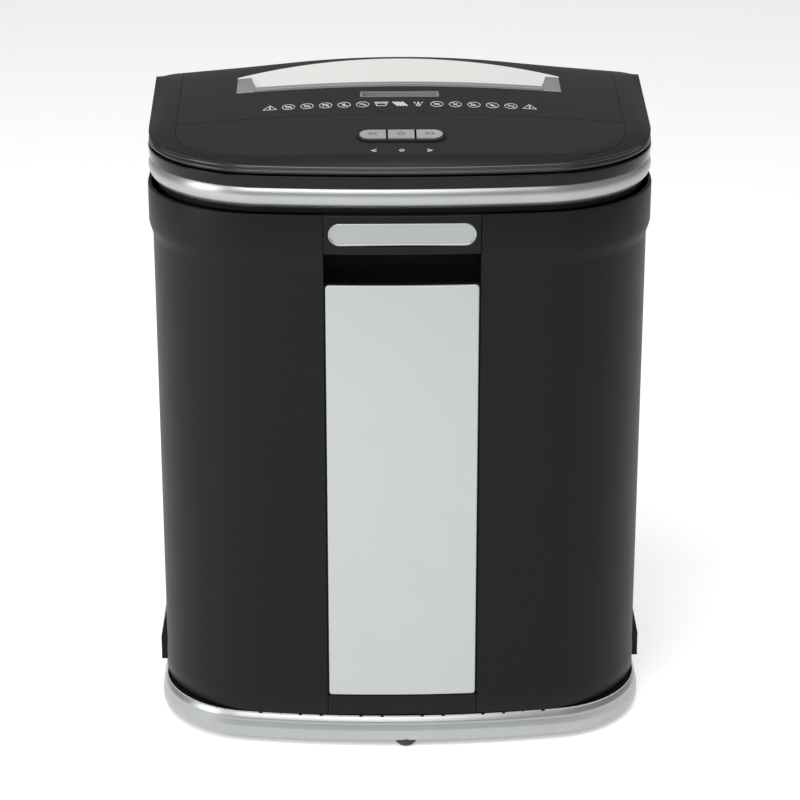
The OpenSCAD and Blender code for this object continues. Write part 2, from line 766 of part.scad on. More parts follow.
// The stack of discs and spacers of one shaft, as one turned piece
module disc_stack(first) {
    ends = stack_l / 2;
    rotate([0, 90, 0]) rotate_extrude() difference() {
        translate([shaft_r, -ends]) square([disc_r - shaft_r, 2 * ends]);
        for (i = [-1:disc_n]) translate([spacer_r, -ends + first + i * disc_pitch + disc_t / 2])
            square([disc_r, disc_pitch - disc_t]);
    }
}
module front_cutter_shaft() color("#b0b2b4")
    x_rod(-plate_out - 13, low_x + gear_w, front_shaft_y, cutter_z, shaft_r);
module rear_cutter_shaft() color("#b0b2b4")
    x_rod(-plate_out - 13, plate_out, rear_shaft_y, cutter_z, shaft_r);
module front_cutter_discs() color("#8c8e90")
    translate([0, front_shaft_y, cutter_z]) disc_stack(disc_pitch / 2);
module rear_cutter_discs() color("#8c8e90")
    translate([0, rear_shaft_y, cutter_z]) disc_stack(disc_pitch);
module shaft_bushes() color("#c09a52") both_sides() for (y = [front_shaft_y, rear_shaft_y])
    translate([plate_x - 0.5, y, cutter_z]) rotate([0, 90, 0]) difference() {
        cylinder(r = bush_r, h = plate_t + 0.5);
        translate([0, 0, -1]) cylinder(r = shaft_r + run, h = plate_t + 3);
    }
module comb(first, side) {
    bar = throat_y - side * 39;
    reach = throat_y - side * (shaft_gap / 2 - 6);
    z = cutter_z - spacer_r - 1.2;
    color("#2a2a2c") union() {
        span([-plate_x, min(bar, bar + side * 4), z - 9], [plate_x, max(bar, bar + side * 4), z]);
        for (i = [0:disc_n - 1]) translate([-stack_l / 2 + first + i * disc_pitch, 0, 0])
            span([-1.4, min(bar, reach), z - 6], [1.4, max(bar, reach), z]);
    }
}
module stripper_combs() {
    comb(disc_pitch, 1);
    comb(disc_pitch / 2, -1);
}
module tie_rods() color("#a8aaac") for (p = rod_spots) {
    x_rod(-plate_out, plate_out, p[0], p[1], rod_r);
    both_sides() x_rod(plate_out, plate_out + 1.6, p[0], p[1], rod_r + 2);
}
sync_x = -plate_out - 11;
module front_sync_gear() color("#d8d4c4")
    gear(sync_x, gear_w, front_shaft_y, cutter_z, sync_module, sync_teeth, 0, shaft_r);
module rear_sync_gear() color("#d8d4c4")
    gear(sync_x, gear_w, rear_shaft_y, cutter_z, sync_module, sync_teeth,
        mesh_phase(0, sync_teeth, 0, sync_teeth), shaft_r);
module main_gear() color("#d8d4c4")
    gear(low_x, gear_w, front_shaft_y, cutter_z, low_module, main_teeth, 0, shaft_r);
idler_phase = mesh_phase(idler_angle, main_teeth, 0, idler_pinion_teeth);
module idler_gear() color("#e6e2d2") {
    gear(low_x, gear_w + 2, idler_y, idler_z, low_module, idler_pinion_teeth, idler_phase, 3 + run);
    gear(high_x, gear_w, idler_y, idler_z, high_module, idler_teeth, idler_phase, 3 + run);
}
module motor_rotor() color("#b07040") union() {
    back = plate_x - 2 - motor_l;
    x_rod(back - 12, high_x + gear_w, motor_y, motor_z, 2.5);
    x_rod(back + 18, plate_x - 20, motor_y, motor_z, motor_r * 0.62);
    x_rod(back - 11, back - 3, motor_y, motor_z, motor_r * 0.75);
    gear(high_x, gear_w, motor_y, motor_z, high_module, pinion_teeth,
        mesh_phase(motor_angle, idler_teeth, idler_phase, pinion_teeth), 2);
}
module motor_can() color("#6c6e72") {
    back = plate_x - 2 - motor_l;
    difference() {
        x_rod(back, plate_x, motor_y, motor_z, motor_r);
        x_rod(back + 6, plate_x - 6, motor_y, motor_z, motor_r - 4);
        x_rod(back - 1, plate_x + 1, motor_y, motor_z, 2.5 + run);
    }
}
module gear_cover() color("#2e2e30") {
    y0 = motor_y - 14;
    y1 = throat_y + 50;
    z0 = pan_floor + 2.5 + gap;
    z1 = idler_z + idler_teeth * high_module / 2 + 5;
    x1 = high_x + gear_w + 3;
    difference() {
        span([plate_out + gap, y0, z0], [x1 + 2, y1, z1]);
        span([plate_out, y0 + 2, z0 + 2], [x1, y1 - 2, z1 - 2]);
    }
}
module bin_sensor() color("#3c3c3e")
    span([sensor_x - 2, bucket_back - 6, pan_floor - 6], [sensor_x + sensor_w + 2, pan_back - 1, pan_floor]);
module head_screws() color("#9c9ea0") for (p = screw_spots) translate([p[0], p[1], pan_floor - 1.6]) {
    cylinder(r = 3.5, h = 1.6);
    cylinder(r = 1.8, h = 6);
}

base_tray();
castor_cups();
base_ring();
rear_cabinet();
runner_rails();
front_foot();
castor(castor_spots[0]);  // front_left_castor
wheels(castor_spots[0]);  // front_left_wheels
castor(castor_spots[1]);  // front_right_castor
wheels(castor_spots[1]);  // front_right_wheels
castor(castor_spots[2]);  // rear_left_castor
wheels(castor_spots[2]);  // rear_left_wheels
castor(castor_spots[3]);  // rear_right_castor
wheels(castor_spots[3]);  // rear_right_wheels
bin_front_shell();
collar_centre();
panel_carrier();
silver_panel();
badge_plate();
grab_pocket();
bin_carriage();
bin_glides();
waste_bucket();
sensor_magnet();
head_chassis();
silver_trim_band();
gloss_bezel();
top_cover();
throat_panel();
control_panel();
paper_guide();
throat_frame();
card_chute();
button_bezel();
button(-1);  // reverse_button
button(0);  // power_button
button(1);  // forward_button
indicator_windows();
control_board();
left_frame_plate();
right_frame_plate();
front_cutter_shaft();
front_cutter_discs();
rear_cutter_shaft();
rear_cutter_discs();
shaft_bushes();
stripper_combs();
tie_rods();
front_sync_gear();
rear_sync_gear();
main_gear();
idler_gear();
motor_rotor();
motor_can();
gear_cover();
bin_sensor();
mains_gland();
power_rocker();
rocker_frame();
head_screws();
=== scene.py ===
"""Looks of a free-standing paper shredder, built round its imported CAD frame.

Plans and sections are in millimetres, in the frame's axes, and turn into metres when a mesh is made.
"""
import json
import math

import bmesh
import bpy
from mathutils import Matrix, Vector

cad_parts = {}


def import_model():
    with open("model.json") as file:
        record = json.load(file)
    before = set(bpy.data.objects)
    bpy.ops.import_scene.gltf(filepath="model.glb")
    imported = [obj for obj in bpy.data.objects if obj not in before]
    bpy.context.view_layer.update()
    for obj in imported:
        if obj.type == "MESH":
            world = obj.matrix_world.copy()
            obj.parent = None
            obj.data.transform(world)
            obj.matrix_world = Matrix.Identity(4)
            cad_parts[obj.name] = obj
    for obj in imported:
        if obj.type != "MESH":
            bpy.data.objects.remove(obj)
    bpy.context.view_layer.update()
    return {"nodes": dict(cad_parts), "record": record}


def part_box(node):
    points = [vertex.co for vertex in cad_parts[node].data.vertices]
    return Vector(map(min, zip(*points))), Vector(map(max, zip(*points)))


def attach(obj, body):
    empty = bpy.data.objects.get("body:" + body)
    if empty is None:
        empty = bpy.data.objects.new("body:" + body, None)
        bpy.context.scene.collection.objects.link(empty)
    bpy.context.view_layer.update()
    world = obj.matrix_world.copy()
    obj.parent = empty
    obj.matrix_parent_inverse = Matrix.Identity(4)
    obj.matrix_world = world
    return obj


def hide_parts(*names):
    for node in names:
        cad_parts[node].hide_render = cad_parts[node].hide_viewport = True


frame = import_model()


MM = 0.001


def cad(node):
    """Lowest and highest corner of a CAD node, in millimetres."""
    low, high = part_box(node)
    return low / MM, high / MM


# ---- Sizes from the frame ------------------------------------------------------------

SHELL_LOW, SHELL_HIGH = cad("bin_front_shell")
REAR_LOW, REAR_HIGH = cad("rear_cabinet")
RING_LOW, RING_HIGH = cad("base_ring")
BAND_LOW, BAND_HIGH = cad("silver_trim_band")
BEZEL_LOW, BEZEL_HIGH = cad("gloss_bezel")
COVER_LOW, COVER_HIGH = cad("top_cover")
PANEL_LOW, PANEL_HIGH = cad("silver_panel")
CENTRE_LOW, CENTRE_HIGH = cad("collar_centre")
BADGE_LOW, BADGE_HIGH = cad("badge_plate")
CARD_LOW, CARD_HIGH = cad("card_chute")
PILL_LOW, PILL_HIGH = cad("button_bezel")
RIDGE_HIGH = cad("throat_panel")[1]

SPLIT_Y = SHELL_HIGH.y              # where the bin front meets the rear cabinet
WALL = 3.0                          # of every moulding
COLLAR_H = 32.0                     # height of the collar round the top of the cabinet
STEP_SIDE = 3.0                     # how far the body stands in from the collar
STEP_FRONT = 1.0                    # the same at the front
STEP_Z = SHELL_HIGH.z + 0.6 - COLLAR_H    # foot of the collar
STEP_SOFT = 11.0                    # height of the soft curve under the collar
PLINTH_Z = PANEL_LOW.z              # top of the plinth
PLINTH_OUT = 0.45                   # how far the plinth stands out from the body
STRIP_HALF = (CENTRE_HIGH.x - CENTRE_LOW.x) / 2
OPEN_Z = (PANEL_HIGH.z, CENTRE_LOW.z)     # the finger opening, from the panel to the collar
JOIN_GAP = 0.3                      # between the front's side mouldings and its centre strip
CUT_GAP = 0.1                       # round a panel that is cut into the cover
SEAM_GAP = 0.22                     # from the seam's line to the panel itself
FIT_GAP = 0.15                      # between the cover and what sits in its cut-outs

LIP_Z = COVER_LOW.z + 4.5           # foot of the cover's lip
FRONT_Y = -123.0                    # where the cover's slope starts
RIDGE_Y = 60.0                      # highest line of the cover
SEAM_Y = cad("control_panel")[1].y  # seam between the control panel and the throat panel
THROAT_HALF = cad("throat_panel")[1].x
SLOPE = math.tan(math.radians(9.005))     # of the cover, from its front to the ridge
SHOULDER = 9.0                      # height of the cover's round shoulder at the front
SHOULDER_W = 16.0                   # and its width

MOUTH_HALF = cad("throat_frame")[1].x - 4.8
MOUTH_FRONT = 0.0                   # front edge of the paper mouth
MOUTH_SIDE = 32.0                   # where its arched back edge meets its ends
MOUTH_TOP = 56.0                    # and the top of that arch
SLOT_FRONT = CARD_HIGH.y + 12.6     # front edge of the paper slot inside the mouth


class Plan:
    """D-shaped outline: straight back and sides, round corners, a shallow curve across the front.

    A place on it is its distance along the outline from the middle of the front, positive to the right.
    """

    def __init__(self, half, front, back, corner, front_r, back_r):
        self.half, self.front, self.back = half, front, back
        self.corner, self.front_r, self.back_r = corner, front_r, back_r
        self.lean = math.asin((half - corner) / (front_r - corner))
        self.corner_x = half - corner
        self.corner_y = front + front_r - (front_r - corner) * math.cos(self.lean)
        steps = (10, 3, 8, 2.2, 12)
        lengths = (front_r * self.lean, corner * (math.pi / 2 - self.lean),
                   back - back_r - self.corner_y, back_r * math.pi / 2, half - back_r)
        self.parts = list(zip(lengths, steps))
        self.marks = [sum(lengths[:i + 1]) for i in range(len(lengths))]

    def at(self, place):
        """Point on the outline and the direction straight out of it."""
        side = -1 if place < 0 else 1
        place = abs(place)
        front_end, corner_end, side_end, back_corner_end, _ = self.marks
        if place <= front_end:
            turn = place / self.front_r
            x = self.front_r * math.sin(turn)
            y = self.front + self.front_r - self.front_r * math.cos(turn)
            out = (math.sin(turn), -math.cos(turn))
        elif place <= corner_end:
            turn = self.lean + (place - front_end) / self.corner
            x = self.corner_x + self.corner * math.sin(turn)
            y = self.corner_y - self.corner * math.cos(turn)
            out = (math.sin(turn), -math.cos(turn))
        elif place <= side_end:
            x, y, out = self.half, self.corner_y + place - corner_end, (1.0, 0.0)
        elif place <= back_corner_end:
            turn = (place - side_end) / self.back_r
            x = self.half - self.back_r + self.back_r * math.cos(turn)
            y = self.back - self.back_r + self.back_r * math.sin(turn)
            out = (math.cos(turn), math.sin(turn))
        else:
            x, y, out = self.half - self.back_r - (place - back_corner_end), self.back, (0.0, 1.0)
        return (side * x, y), (side * out[0], out[1])

    def places(self, start=None, stop=None, also=()):
        """Places from start to stop, close together where the outline curves."""
        start = round(-self.marks[-1] if start is None else start, 4)
        stop = round(self.marks[-1] if stop is None else stop, 4)
        found = {start, stop} | {round(p, 4) for p in also}
        reached = 0.0
        for length, step in self.parts:
            count = max(1, math.ceil(length / step))
            for i in range(count + 1):
                place = round(reached + length * i / count, 4)
                found |= {place, -place}
            reached += length
        return sorted(p for p in found if start <= p <= stop)

    def place_at_y(self, y):
        """Place on the right side wall at that depth."""
        return self.marks[1] + y - self.corner_y

    def place_at_x(self, x):
        """Place on the front curve at that width."""
        return self.front_r * math.asin(x / self.front_r)

    def depth(self, x, y):
        """How far inside the outline a point lies."""
        x = abs(x)
        if y >= self.corner_y:
            inside = self.half - x
        elif math.atan2(x - self.corner_x, self.corner_y - y) >= self.lean:
            inside = self.corner - math.hypot(x - self.corner_x, y - self.corner_y)
        else:
            inside = self.front_r - math.hypot(x, y - self.front - self.front_r)
        past_x = x - (self.half - self.back_r)
        past_y = y - (self.back - self.back_r)
        if past_x > 0 and past_y > 0:
            return self.back_r - math.hypot(past_x, past_y)
        return min(inside, self.back - y)


COLLAR = Plan(SHELL_HIGH.x, SHELL_LOW.y, REAR_HIGH.y, corner=98, front_r=970, back_r=22)
HEAD = Plan(COVER_HIGH.x, COVER_LOW.y, COVER_HIGH.y, corner=98, front_r=970, back_r=22)
RING = Plan(RING_HIGH.x, RING_LOW.y, RING_HIGH.y, corner=83, front_r=780, back_r=24)
CONTROL = Plan(THROAT_HALF, COVER_LOW.y + 14.4, 0, corner=55, front_r=970, back_r=1)


# ---- Meshes --------------------------------------------------------------------------

def build(name, points, faces):
    """Object from points in millimetres, its faces turned outward."""
    mesh = bpy.data.meshes.new(name)
    mesh.from_pydata([Vector(p) * MM for p in points], [], faces)
    obj = bpy.data.objects.new(name, mesh)
    bpy.context.scene.collection.objects.link(obj)
    tidy_mesh(obj)
    return obj


def tidy_mesh(obj, angle=32):
    """Welds doubled points, turns the faces outward and shades them smooth up to that angle."""
    work = bmesh.new()
    work.from_mesh(obj.data)
    bmesh.ops.remove_doubles(work, verts=work.verts, dist=1e-6)
    bmesh.ops.dissolve_degenerate(work, edges=work.edges, dist=1e-7)
    bmesh.ops.recalc_face_normals(work, faces=work.faces)
    work.to_mesh(obj.data)
    work.free()
    obj.data.shade_smooth()
    obj.data.set_sharp_from_angle(angle=math.radians(angle))


def skin(name, rings, closed=False):
    """Solid through closed rings of points: the last meets the first when closed, else both are capped."""
    count = len(rings[0])
    points = [p for ring in rings for p in ring]
    faces = []
    for i in range(len(rings) if closed else len(rings) - 1):
        here, there = i * count, (i + 1) % len(rings) * count
        for j in range(count):
            k = (j + 1) % count
            faces.append((here + j, here + k, there + k, there + j))
    if not closed:
        faces.append(tuple(range(count)))
        faces.append(tuple((len(rings) - 1) * count + j for j in range(count)))
    return build(name, points, faces)


def sweep(name, plan, places, section, closed=False):
    """Solid along an outline; its section is (inset, height) points, or section(place, out) gives them."""
    rings = []
    for place in places:
        (x, y), out = plan.at(place)
        shape = section(place, out) if callable(section) else section
        rings.append([(x - t * out[0], y - t * out[1], z) for t, z in shape])
    return skin(name, rings, closed)


def rounded(corners, steps=4):
    """Closed outline from (u, v, set-back) corners, each rounded by its set-back."""
    points = []
    for i, (u, v, back) in enumerate(corners):
        here = Vector((u, v))
        if not back:
            points.append((u, v))
            continue
        before = (Vector(corners[i - 1][:2]) - here).normalized() * back
        after = (Vector(corners[(i + 1) % len(corners)][:2]) - here).normalized() * back
        for k in range(steps + 1):
            q = k / steps
            p = here + before * (1 - q) ** 2 + after * q ** 2
            points.append((p.x, p.y))
    return points


def prism(name, outline, low, high):
    """Upright prism; low and high are heights, or functions of x and y."""
    def level(z, x, y):
        return z(x, y) if callable(z) else z
    return skin(name, [[(x, y, level(z, x, y)) for x, y in outline] for z in (low, high)])


def brick(name, low, high):
    """Box between two corners."""
    outline = [(low[0], low[1]), (high[0], low[1]), (high[0], high[1]), (low[0], high[1])]
    return prism(name, outline, low[2], high[2])


def baked(obj):
    """Gives the object its modifiers' result as its mesh."""
    graph = bpy.context.evaluated_depsgraph_get()
    mesh = bpy.data.meshes.new_from_object(obj.evaluated_get(graph))
    obj.modifiers.clear()
    obj.data = mesh
    return obj


def bevelled(obj, width):
    """Rounds the edges where faces meet at more than a slight angle."""
    mod = obj.modifiers.new("bevel", "BEVEL")
    mod.width = width * MM
    mod.segments = 3
    mod.limit_method = "ANGLE"
    mod.angle_limit = math.radians(35)
    baked(obj)
    tidy_mesh(obj, 50)
    return obj


def carve(obj, tool, how="DIFFERENCE"):
    """Boolean of obj with a tool, which is used up."""
    mod = obj.modifiers.new("carve", "BOOLEAN")
    mod.operation = how
    mod.solver = "EXACT"
    mod.object = tool
    baked(obj)
    bpy.data.objects.remove(tool)
    tidy_mesh(obj)
    return obj


def copy_of(obj, name):
    """Second object with a mesh of its own."""
    twin = obj.copy()
    twin.data = obj.data.copy()
    twin.name = name
    bpy.context.scene.collection.objects.link(twin)
    return twin


def joined(name, objs):
    """One object with the meshes of several."""
    points, faces = [], []
    for obj in objs:
        start = len(points)
        points += [tuple(v.co / MM) for v in obj.data.vertices]
        faces += [tuple(start + i for i in poly.vertices) for poly in obj.data.polygons]
        bpy.data.objects.remove(obj)
    return build(name, points, faces)


def pill_outline(width, depth, x0=0.0, y0=0.0, steps=14):
    """Outline with straight long sides and round ends, about (x0, y0)."""
    r = depth / 2
    x = width / 2 - r
    turns = [math.pi * (i / steps - 0.5) for i in range(steps + 1)]
    right = [(x0 + x + r * math.cos(a), y0 + r * math.sin(a)) for a in turns]
    left = [(x0 - x - r * math.cos(a), y0 - r * math.sin(a)) for a in turns]
    return right + left


# ---- Finishes ------------------------------------------------------------------------

def noise(tree, scale, detail, place):
    """Noise texture over the object's own space."""
    node = tree.nodes.new("ShaderNodeTexNoise")
    node.inputs["Scale"].default_value = scale
    node.inputs["Detail"].default_value = detail
    tree.links.new(place, node.inputs["Vector"])
    return node.outputs["Fac"]


def wander(tree, shader, cloud, color, mottle, rough):
    """Lets the colour and the roughness wander a little with the cloud."""
    tint = tree.nodes.new("ShaderNodeMix")
    tint.data_type = "RGBA"
    tint.inputs["A"].default_value = (*[c * (1 - mottle) for c in color], 1)
    tint.inputs["B"].default_value = (*[min(1, c * (1 + mottle)) for c in color], 1)
    tree.links.new(cloud, tint.inputs["Factor"])
    tree.links.new(tint.outputs["Result"], shader.inputs["Base Color"])
    gloss = tree.nodes.new("ShaderNodeMapRange")
    gloss.inputs["To Min"].default_value = rough * 0.92
    gloss.inputs["To Max"].default_value = min(1.0, rough * 1.08)
    tree.links.new(cloud, gloss.inputs["Value"])
    tree.links.new(gloss.outputs["Result"], shader.inputs["Roughness"])


def fine_grain(tree, shader, place, strength, size, brushed):
    """Fine relief; when brushed, its grains are drawn out sideways."""
    if brushed:
        stretch = tree.nodes.new("ShaderNodeMapping")
        stretch.inputs["Scale"].default_value = (0.03, 0.03, 1.0)
        tree.links.new(place, stretch.inputs["Vector"])
        place = stretch.outputs["Vector"]
    relief = tree.nodes.new("ShaderNodeBump")
    relief.inputs["Strength"].default_value = strength
    relief.inputs["Distance"].default_value = 0.05 * MM
    tree.links.new(noise(tree, 1 / (size * MM), 2.0, place), relief.inputs["Height"])
    tree.links.new(relief.outputs["Normal"], shader.inputs["Normal"])


def finish(name, color, rough, metal=0.0, specular=0.5, ior=1.5, grain=0.0, grain_mm=0.5, mottle=0.08,
           coat=0.0, brushed=False):
    """Procedural finish: its colour and gloss wander a little, and a fine grain stands in relief."""
    mat = bpy.data.materials.new(name)
    mat.use_nodes = True
    tree = mat.node_tree
    shader = tree.nodes["Principled BSDF"]
    shader.inputs["Metallic"].default_value = metal
    shader.inputs["Specular IOR Level"].default_value = specular
    shader.inputs["IOR"].default_value = ior
    shader.inputs["Coat Weight"].default_value = coat
    shader.inputs["Coat Roughness"].default_value = 0.06
    place = tree.nodes.new("ShaderNodeTexCoord").outputs["Object"]
    wander(tree, shader, noise(tree, 28.0, 4.0, place), color, mottle, rough)
    if grain:
        fine_grain(tree, shader, place, grain, grain_mm, brushed)
    return mat


def glass_finish(name, color):
    """Smoked clear plastic."""
    mat = finish(name, color, 0.12, mottle=0.15)
    mat.node_tree.nodes["Principled BSDF"].inputs["Transmission Weight"].default_value = 0.6
    return mat


FINISHES = {
    "black_shell": finish("satin_black_shell", (0.0055, 0.0055, 0.0060), 0.44, ior=1.25,
                          grain=0.35, grain_mm=0.7),
    "head_cover": finish("satin_black_cover", (0.0100, 0.0104, 0.0108), 0.36, specular=0.25,
                         grain=0.3, grain_mm=0.7),
    "gloss_black": finish("gloss_black", (0.003, 0.003, 0.0034), 0.16, specular=0.2,
                          coat=0.04, mottle=0.2),
    "silver_paint": finish("silver_paint", (0.37, 0.38, 0.385), 0.32, metal=0.85,
                           grain=0.12, grain_mm=0.25),
    "inner_black": finish("inner_black", (0.004, 0.004, 0.0045), 0.6, specular=0.1,
                          grain=0.4, grain_mm=0.9),
    "bucket_plastic": finish("bucket_grey", (0.040, 0.041, 0.044), 0.48, specular=0.3,
                             grain=0.4, grain_mm=0.9),
    "guide_plastic": finish("guide_white", (0.60, 0.60, 0.585), 0.42,
                            grain=0.2, grain_mm=0.8, mottle=0.02),
    "grey_plastic": finish("throat_grey", (0.20, 0.205, 0.21), 0.40, grain=0.25, grain_mm=0.6),
    "button_silver": finish("button_silver", (0.42, 0.425, 0.43), 0.36, metal=0.4,
                            grain=0.2, grain_mm=0.3),
    "window_tint": glass_finish("smoked_window", (0.04, 0.045, 0.05)),
    "rocker_black": finish("rocker_black", (0.010, 0.010, 0.011), 0.35, specular=0.3,
                           grain=0.3, grain_mm=0.6),
    "castor_black": finish("castor_black", (0.012, 0.012, 0.013), 0.50, specular=0.3,
                           grain=0.4, grain_mm=0.8),
    "wheel_rubber": finish("wheel_rubber", (0.024, 0.024, 0.025), 0.72, grain=0.6, grain_mm=0.6),
    "rail_steel": finish("rail_steel", (0.55, 0.56, 0.57), 0.34, metal=1.0,
                         grain=0.25, grain_mm=0.3, brushed=True),
    "cutter_steel": finish("cutter_steel", (0.42, 0.42, 0.43), 0.30, metal=1.0,
                           grain=0.35, grain_mm=0.3),
    "bush_bronze": finish("bush_bronze", (0.50, 0.33, 0.14), 0.38, metal=1.0, grain=0.3),
    "gear_nylon": finish("gear_nylon", (0.70, 0.67, 0.58), 0.45, grain=0.2, grain_mm=0.8, mottle=0.04),
    "comb_plastic": finish("comb_plastic", (0.020, 0.020, 0.021), 0.50, grain=0.4, grain_mm=0.8),
    "motor_steel": finish("motor_zinc", (0.48, 0.50, 0.53), 0.36, metal=1.0,
                          grain=0.3, grain_mm=1.2, mottle=0.18),
    "rotor_copper": finish("rotor_copper", (0.60, 0.30, 0.16), 0.34, metal=1.0,
                           grain=0.4, grain_mm=0.4),
    "board_green": finish("board_green", (0.02, 0.12, 0.05), 0.34, grain=0.3, mottle=0.15),
}
PANEL_SILVER = finish("panel_silver", (0.42, 0.44, 0.44), 0.34, metal=0.35,
                      grain=0.15, grain_mm=0.25, mottle=0.02)
BADGE_SILVER = finish("badge_silver", (0.335, 0.35, 0.355), 0.34, metal=0.4,
                      grain=0.15, grain_mm=0.25, mottle=0.02)
LIP_GLOSS = finish("lip_gloss", (0.006, 0.006, 0.0065), 0.2, specular=0.65, mottle=0.1)
MARK_WHITE = finish("mark_white", (0.60, 0.61, 0.62), 0.5, mottle=0.03)
MARK_DARK = finish("mark_dark", (0.05, 0.05, 0.055), 0.5, mottle=0.1)


def piece(obj, body, slot, replaces=(), material=None):
    """Gives a piece its finish, its body and the CAD nodes that it stands for."""
    obj.data.materials.clear()
    obj.data.materials.append(material or FINISHES[slot])
    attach(obj, body)
    for node in ([replaces] if isinstance(replaces, str) else replaces):
        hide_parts(node)
    return obj


# ---- Cabinet and bin front -----------------------------------------------------------

def step_in(out):
    """How far the body stands in from the collar on a face that looks that way."""
    return STEP_SIDE * out[0] ** 2 + STEP_FRONT * out[1] ** 2


def ease(q):
    """Soft step from 0 to 1 as q goes from 0 to 1."""
    q = min(1.0, max(0.0, q))
    return q * q * (3 - 2 * q)


def shell_section(out, low, high, plinth=0.0, edge=0.7):
    """Closed section of the moulding: plinth, body, soft curve, collar, and its inner face."""
    body = step_in(out)
    steps, foot, rise = 8, STEP_Z - STEP_SOFT, STEP_SOFT + 2
    curve = [(body * (1 - ease(k / steps)), foot + rise * k / steps) for k in range(steps + 1)]
    outer = [(body - plinth, low + edge)]
    if plinth:
        outer += [(body - plinth, PLINTH_Z - 1.2), (body, PLINTH_Z + 0.6)]
    bottom = [(body + WALL, low), (body - plinth + edge, low), (body - plinth + 0.2, low + 0.2)]
    top = [(0.0, high - 1.4), (0.25, high - 0.5), (0.8, high - 0.1), (1.4, high), (WALL - 0.3, high),
           (WALL, high - 0.3)]
    inner = [(WALL, STEP_Z), (body + WALL, STEP_Z - 4)]
    return bottom + outer + curve + top + inner


def bin_front():
    """Both sides of the bin's curved front, joined behind the centre strip."""
    low, high = SHELL_LOW.z, SHELL_HIGH.z
    inner = COLLAR.place_at_x(STRIP_HALF + JOIN_GAP)
    outer = COLLAR.place_at_y(SPLIT_Y)

    def section(_, out):
        return shell_section(out, low, high, plinth=PLINTH_OUT)
    parts = []
    for sign in (-1, 1):
        start, stop = sorted((sign * inner, sign * outer))
        parts.append(sweep("side", COLLAR, COLLAR.places(start, stop), section))
    web_y = SHELL_LOW.y + STEP_FRONT + 7.3      # front of the web behind the centre strip
    half = STRIP_HALF + 4.0
    for z0, z1 in ((low, OPEN_Z[0] - 0.2), (OPEN_Z[1] + 0.2, high)):
        parts.append(brick("web", (-half, web_y, z0), (half, web_y + WALL, z1)))
    for sign in (-1, 1):
        x0, x1 = sorted((sign * (STRIP_HALF + JOIN_GAP), sign * half))
        parts.append(brick("jamb", (x0, SHELL_LOW.y + 3.6, low), (x1, web_y + WALL, high)))
    piece(joined("bin_front_mouldings", parts), "bin", "black_shell", "bin_front_shell")


def strip_piece(name, half, section, dense=()):
    """A piece of the front's centre strip, its side edges eased.

    section(drop, inside) gets how far the edge is eased back there, and how far inside the edge it is.
    """
    edge = COLLAR.place_at_x(half)
    near = (0.15, 0.4, 0.8)
    places = COLLAR.places(-edge, edge, also=[s * (edge - d) for s in (-1, 1) for d in (*near, *dense)])

    def eased(place, _):
        gone = max(0.0, near[-1] - (edge - abs(place)))
        drop = near[-1] - math.sqrt(max(0.0, near[-1] ** 2 - gone ** 2))
        return section(drop, edge - abs(place))
    return sweep(name, COLLAR, places, eased)


def collar_centre():
    """Centre piece of the collar, with a pill-shaped seat for the badge."""
    low, high = CENTRE_LOW.z, CENTRE_HIGH.z

    def section(drop, _):
        return rounded([(7.5, low, 0), (drop, low, 1.3), (drop, high, 1.4), (7.5, high, 0)])
    obj = strip_piece("collar_centre_strip", STRIP_HALF, section)
    gap = 0.5
    seat = pill_outline(BADGE_HIGH.x - BADGE_LOW.x + gap, BADGE_HIGH.z - BADGE_LOW.z + gap)
    middle_z = (BADGE_LOW.z + BADGE_HIGH.z) / 2
    y0 = SHELL_LOW.y
    tool = skin("seat", [[(x, y, middle_z + z) for x, z in seat] for y in (y0 - 5, y0 + 3)])
    carve(obj, tool)
    piece(obj, "bin", "black_shell", "collar_centre")


def badge():
    """Pill-shaped plate with a proud bright rim round a plain field."""
    width, height = BADGE_HIGH.x - BADGE_LOW.x, BADGE_HIGH.z - BADGE_LOW.z
    middle_z = (BADGE_LOW.z + BADGE_HIGH.z) / 2

    def face(x):
        return COLLAR.front + COLLAR.front_r - math.sqrt(COLLAR.front_r ** 2 - x * x)

    def ring(inset, proud):
        return [(x, face(x) - proud, middle_z + z)
                for x, z in pill_outline(width - 2 * inset, height - 2 * inset, steps=20)]
    steps = [(0.0, -2.6), (0.0, -0.1), (0.25, 0.32), (0.7, 0.5), (1.15, 0.32), (1.35, 0.0), (1.7, -0.12)]
    plate = skin("badge_rim", [ring(t, p) for t, p in steps] + [ring(1.7, -2.6)])
    piece(plate, "bin", "silver_paint", "badge_plate")
    field = skin("badge_field", [ring(1.6, -2.4), ring(1.6, -0.12)])
    piece(field, "bin", "silver_paint", material=BADGE_SILVER)


def carrier():
    """Black plinth under the silver panel and the tray behind it."""
    low, high = SHELL_LOW.z, PANEL_HIGH.z
    back = 7.9

    def plinth(drop, _):
        face = STEP_FRONT + drop - PLINTH_OUT
        top = PLINTH_Z - 0.8
        return rounded([(back, low, 0), (face, low, 0.7), (face, top, 0.7), (back, top, 0)])

    def tray(*_):
        face = STEP_FRONT + 2.7
        return [(back, PLINTH_Z - 0.9), (face, PLINTH_Z - 0.9), (face, high - 0.6), (back, high - 0.6)]
    parts = [strip_piece("plinth", STRIP_HALF, plinth), strip_piece("tray", STRIP_HALF, tray)]
    obj = joined("panel_carrier_strip", parts)
    piece(obj, "bin", "inner_black", "panel_carrier", FINISHES["black_shell"])


